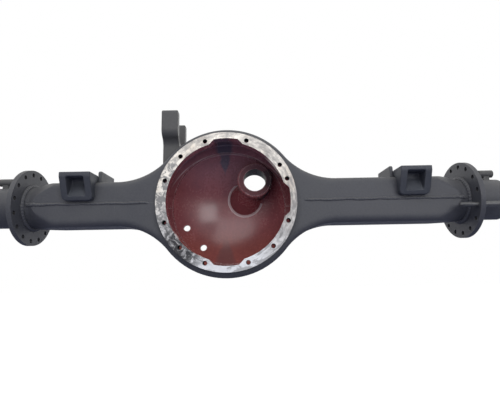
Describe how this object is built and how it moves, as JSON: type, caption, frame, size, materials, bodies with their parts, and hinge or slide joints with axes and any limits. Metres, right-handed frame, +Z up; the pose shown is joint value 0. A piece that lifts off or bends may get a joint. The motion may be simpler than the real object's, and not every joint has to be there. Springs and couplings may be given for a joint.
{
  "type": "axle housing",
  "caption": "Banjo drive-axle housing with pressed half shells, machined carrier ring, domed rear cover, brake flanges, spindles, spring seats and a rod bracket.",
  "frame": {"origin": "centre of the machined carrier-ring face, where the differential carrier bolts on", "axes": "+X along the axle towards the longer arm, -Y out of the ring face, +Z up"},
  "size_m": [1.945, 0.284, 0.531],
  "materials": {
    "housing_paint": "satin",
    "ring_machined": "machined",
    "inner_primer": "gloss",
    "stud_bare": "satin"
  },
  "bodies": {
    "root": {"shell_upper": "housing_paint", "shell_lower": "housing_paint", "cover_weld_bead": "housing_paint", "flange_left": "housing_paint", "flange_right": "housing_paint", "flange_weld_left": "housing_paint", "flange_weld_right": "housing_paint", "spindle_left": "housing_paint", "spindle_right": "housing_paint", "seat_left": "housing_paint", "seat_right": "housing_paint", "guide_outer_left": "housing_paint", "guide_inner_left": "housing_paint", "guide_inner_right": "housing_paint", "guide_outer_right": "housing_paint", "rod_bracket": "housing_paint", "holder_left": "housing_paint", "holder_right": "housing_paint", "seam_front_left": "housing_paint", "seam_front_right": "housing_paint", "seam_rear_left": "housing_paint", "seam_rear_right": "housing_paint", "carrier_ring": "ring_machined", "rear_cover": "inner_primer", "shaft_boss": "inner_primer", "flange_stud": "stud_bare"}
  },
  "joints": []
}
